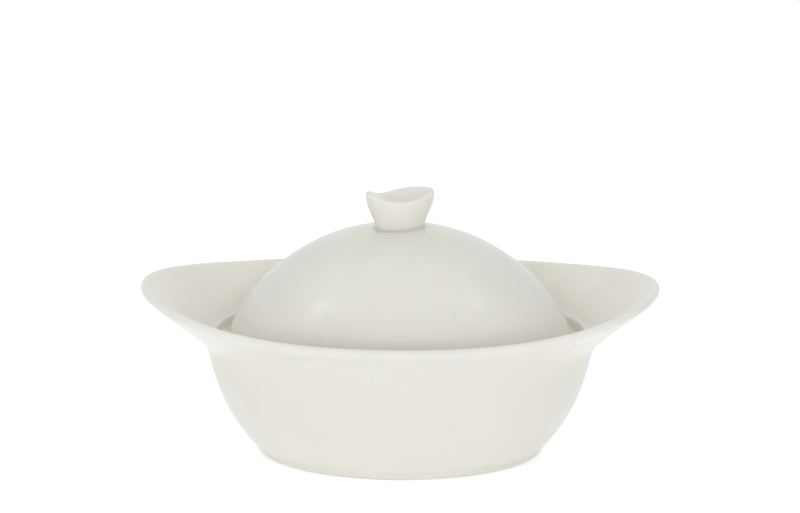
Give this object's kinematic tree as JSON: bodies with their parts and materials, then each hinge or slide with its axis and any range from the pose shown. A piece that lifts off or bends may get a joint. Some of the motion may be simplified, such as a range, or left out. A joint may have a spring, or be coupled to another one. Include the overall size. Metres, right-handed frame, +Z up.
{
  "type": "oval cocotte with lid",
  "caption": "Oval porcelain cocotte whose flared rim draws out into end handles, with an inner ledge that seats a domed lid with a pinched knob, for baking and serving.",
  "frame": {"origin": "centre of the foot ring's underside", "axes": "+X along the dish's length towards one handle, +Y across it, +Z up"},
  "size_m": [0.1906, 0.102, 0.1018],
  "materials": {
    "porcelain": "glossy warm white glaze, bare on the underside of the foot ring"
  },
  "bodies": {
    "dish": {"dish": "porcelain"},
    "lid": {"lid_dome": "porcelain", "lid_knob": "porcelain"}
  },
  "joints": [
    {"name": "lid_lift", "type": "slide", "parent": "dish", "child": "lid", "axis": [0, 0, 1], "range_m": [0, 0.06]}
  ]
}
